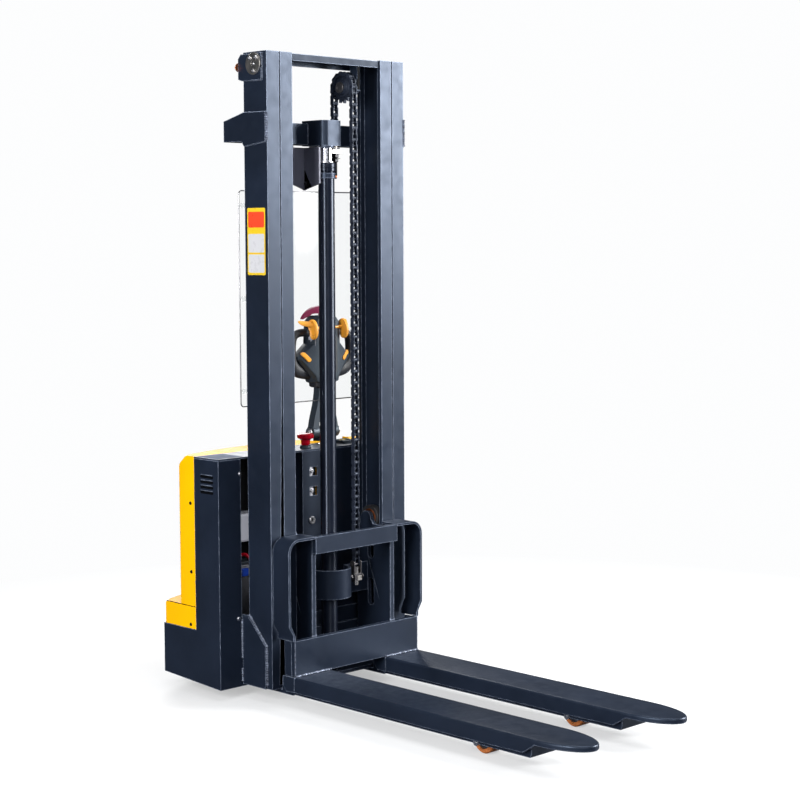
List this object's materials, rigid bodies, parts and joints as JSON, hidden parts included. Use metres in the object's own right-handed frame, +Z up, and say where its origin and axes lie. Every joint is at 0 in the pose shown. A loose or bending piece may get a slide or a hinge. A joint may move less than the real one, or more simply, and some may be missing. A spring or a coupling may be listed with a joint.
{
  "type": "walkie stacker",
  "caption": "Pedestrian stacker with a two-stage mast, centre cylinder, chain-hung fork carriage, straddling support legs, powered rear unit and tiller.",
  "frame": {"origin": "middle of the truck's footprint, on the floor", "axes": "+Z up, -Y towards the fork tips, +Y towards the operator, +X to the truck's left as its driver faces the forks"},
  "size_m": [0.8008, 1.787, 2.08],
  "materials": {
    "frame_paint": "satin dark blue-grey enamel",
    "hood_paint": "satin yellow enamel",
    "yellow_plastic": "smooth",
    "chrome": "hard chrome",
    "bright_steel": "machined",
    "chain_steel": "oiled dark steel",
    "roller_steel": "greased",
    "black_enamel": "gloss black",
    "dark_plastic": "fine grain",
    "rubber": "smooth",
    "red_plastic": "smooth",
    "battery_case": "moulded",
    "light_plastic": "moulded",
    "clear_screen": "clear sheet",
    "polyurethane": "cast polyurethane"
  },
  "bodies": {
    "chassis": {"chassis_frame": "frame_paint", "outer_mast": "frame_paint", "support_leg_left": "frame_paint", "support_leg_right": "frame_paint", "roller_cap_left": "bright_steel", "roller_cap_right": "bright_steel", "lift_cylinder": "black_enamel", "cylinder_gland": "black_enamel", "cylinder_bracket": "frame_paint", "chain_anchor_fixed": "bright_steel", "chain_rear": "chain_steel", "top_deck": "frame_paint", "skirt_cover": "hood_paint", "hood": "hood_paint", "battery_left": "battery_case", "battery_right": "battery_case", "pump_unit": "black_enamel", "motor_controller": "light_plastic", "battery_connector": "light_plastic", "hydraulic_hose": "rubber", "key_switch": "bright_steel", "battery_gauge": "dark_plastic", "guard_screen": "clear_screen"},
    "inner_mast": {"inner_mast": "frame_paint", "lift_rod": "chrome", "chain_front": "chain_steel", "chain_wrap": "chain_steel"},
    "chain_wheel": {"chain_wheel": "chain_steel"},
    "carriage": {"carriage_frame": "frame_paint", "chain_anchor_carriage": "bright_steel", "side_guard_left": "frame_paint", "side_guard_right": "frame_paint", "fork_left": "frame_paint", "fork_right": "frame_paint"},
    "carriage_roller_upper_left": {"carriage_roller_upper_left": "roller_steel"},
    "carriage_roller_upper_right": {"carriage_roller_upper_right": "roller_steel"},
    "carriage_roller_lower_left": {"carriage_roller_lower_left": "roller_steel"},
    "carriage_roller_lower_right": {"carriage_roller_lower_right": "roller_steel"},
    "inner_mast_roller_left": {"inner_mast_roller_left": "roller_steel"},
    "inner_mast_roller_right": {"inner_mast_roller_right": "roller_steel"},
    "mast_head_roller_left": {"mast_head_roller_left": "roller_steel"},
    "mast_head_roller_right": {"mast_head_roller_right": "roller_steel"},
    "load_wheel_left": {"load_wheel_left": "polyurethane"},
    "load_wheel_right": {"load_wheel_right": "polyurethane"},
    "drive_unit": {"drive_unit": "black_enamel"},
    "drive_wheel": {"drive_wheel": "polyurethane"},
    "tiller": {"tiller_arm": "dark_plastic", "tiller_head": "dark_plastic", "tiller_grip": "rubber"},
    "throttle": {"throttle": "yellow_plastic"},
    "belly_button": {"belly_button": "red_plastic"},
    "lift_button": {"lift_button": "yellow_plastic"},
    "lower_button": {"lower_button": "yellow_plastic"},
    "horn_button": {"horn_button": "red_plastic"},
    "emergency_stop": {"emergency_stop": "red_plastic"},
    "ignition_key": {"ignition_key": "bright_steel"},
    "caster_fork": {"caster_fork": "bright_steel"},
    "caster_wheel": {"caster_wheel": "polyurethane"}
  },
  "joints": [
    {"name": "mast_lift", "type": "slide", "parent": "chassis", "child": "inner_mast", "axis": [0, 0, 1], "range_m": [0, 1.46], "deforming": ["chain_rear"]},
    {"name": "carriage_lift", "type": "slide", "parent": "inner_mast", "child": "carriage", "axis": [0, 0, 1], "range_m": [0, 1.46], "deforming": ["chain_front"]},
    {"name": "chain_wheel_turn", "type": "hinge", "parent": "inner_mast", "child": "chain_wheel", "pos_m": [0.08, 0.4195, 1.987], "axis": [1, 0, 0], "range_deg": [-1830, 0]},
    {"name": "carriage_roller_upper_left_turn", "type": "hinge", "parent": "carriage", "child": "carriage_roller_upper_left", "pos_m": [-0.1985, 0.4195, 0.548], "axis": [1, 0, 0], "range_deg": [0, 2020]},
    {"name": "carriage_roller_upper_right_turn", "type": "hinge", "parent": "carriage", "child": "carriage_roller_upper_right", "pos_m": [0.1985, 0.4195, 0.548], "axis": [1, 0, 0], "range_deg": [0, 2020]},
    {"name": "carriage_roller_lower_left_turn", "type": "hinge", "parent": "carriage", "child": "carriage_roller_lower_left", "pos_m": [-0.1985, 0.4195, 0.172], "axis": [1, 0, 0], "range_deg": [-2020, 0]},
    {"name": "carriage_roller_lower_right_turn", "type": "hinge", "parent": "carriage", "child": "carriage_roller_lower_right", "pos_m": [0.1985, 0.4195, 0.172], "axis": [1, 0, 0], "range_deg": [-2020, 0]},
    {"name": "inner_mast_roller_left_turn", "type": "hinge", "parent": "inner_mast", "child": "inner_mast_roller_left", "pos_m": [-0.268, 0.4195, 0.19], "axis": [1, 0, 0], "range_deg": [-2020, 0]},
    {"name": "inner_mast_roller_right_turn", "type": "hinge", "parent": "inner_mast", "child": "inner_mast_roller_right", "pos_m": [0.268, 0.4195, 0.19], "axis": [1, 0, 0], "range_deg": [-2020, 0]},
    {"name": "mast_head_roller_left_turn", "type": "hinge", "parent": "chassis", "child": "mast_head_roller_left", "pos_m": [-0.246, 0.4195, 2.026], "axis": [1, 0, 0], "range_deg": [0, 2020]},
    {"name": "mast_head_roller_right_turn", "type": "hinge", "parent": "chassis", "child": "mast_head_roller_right", "pos_m": [0.246, 0.4195, 2.026], "axis": [1, 0, 0], "range_deg": [0, 2020]},
    {"name": "load_wheel_left_spin", "type": "hinge", "parent": "chassis", "child": "load_wheel_left", "pos_m": [-0.20275, -0.4985, 0.04], "axis": [1, 0, 0], "continuous": true},
    {"name": "load_wheel_right_spin", "type": "hinge", "parent": "chassis", "child": "load_wheel_right", "pos_m": [0.20275, -0.4985, 0.04], "axis": [1, 0, 0], "continuous": true},
    {"name": "steering", "type": "hinge", "parent": "chassis", "child": "drive_unit", "pos_m": [0.252, 0.7235, 0], "axis": [0, 0, 1], "range_deg": [-90, 90]},
    {"name": "drive_wheel_spin", "type": "hinge", "parent": "drive_unit", "child": "drive_wheel", "pos_m": [0.252, 0.7235, 0.1], "axis": [1, 0, 0], "continuous": true},
    {"name": "tiller_fold", "type": "hinge", "parent": "drive_unit", "child": "tiller", "pos_m": [0.252, 0.7235, 0.815], "axis": [-1, 0, 0], "range_deg": [0, 80]},
    {"name": "throttle_turn", "type": "hinge", "parent": "tiller", "child": "throttle", "pos_m": [0.252, 0.6975, 1.183], "axis": [1, 0, 0], "range_deg": [-20, 20], "stiffness_Nm_per_rad": 0.5},
    {"name": "belly_button_press", "type": "slide", "parent": "tiller", "child": "belly_button", "axis": [0, 0, -1], "range_m": [0, 0.005]},
    {"name": "lift_button_press", "type": "slide", "parent": "tiller", "child": "lift_button", "axis": [0, 1, 0], "range_m": [0, 0.003]},
    {"name": "lower_button_press", "type": "slide", "parent": "tiller", "child": "lower_button", "axis": [0, 1, 0], "range_m": [0, 0.003]},
    {"name": "horn_button_press", "type": "slide", "parent": "tiller", "child": "horn_button", "axis": [0, -1, 0], "range_m": [0, 0.003]},
    {"name": "emergency_stop_press", "type": "slide", "parent": "chassis", "child": "emergency_stop", "axis": [0, 0, -1], "range_m": [0, 0.01]},
    {"name": "key_turn", "type": "hinge", "parent": "chassis", "child": "ignition_key", "pos_m": [0.12, 0.5785, 0.8], "axis": [0, 0, -1], "range_deg": [0, 90]},
    {"name": "caster_swivel", "type": "hinge", "parent": "chassis", "child": "caster_fork", "pos_m": [-0.252, 0.7235, 0], "axis": [0, 0, 1], "continuous": true},
    {"name": "caster_wheel_spin", "type": "hinge", "parent": "caster_fork", "child": "caster_wheel", "pos_m": [-0.252, 0.7575, 0.062], "axis": [1, 0, 0], "continuous": true}
  ],
  "couplings": [
    {"joint": "carriage_lift", "follows": "mast_lift", "ratio": 1},
    {"joint": "chain_wheel_turn", "follows": "mast_lift", "rad_per_m": -21.828},
    {"joint": "carriage_roller_upper_left_turn", "follows": "mast_lift", "rad_per_m": 24.096},
    {"joint": "carriage_roller_upper_right_turn", "follows": "mast_lift", "rad_per_m": 24.096},
    {"joint": "carriage_roller_lower_left_turn", "follows": "mast_lift", "rad_per_m": -24.096},
    {"joint": "carriage_roller_lower_right_turn", "follows": "mast_lift", "rad_per_m": -24.096},
    {"joint": "inner_mast_roller_left_turn", "follows": "mast_lift", "rad_per_m": -24.096},
    {"joint": "inner_mast_roller_right_turn", "follows": "mast_lift", "rad_per_m": -24.096},
    {"joint": "mast_head_roller_left_turn", "follows": "mast_lift", "rad_per_m": 24.096},
    {"joint": "mast_head_roller_right_turn", "follows": "mast_lift", "rad_per_m": 24.096}
  ]
}
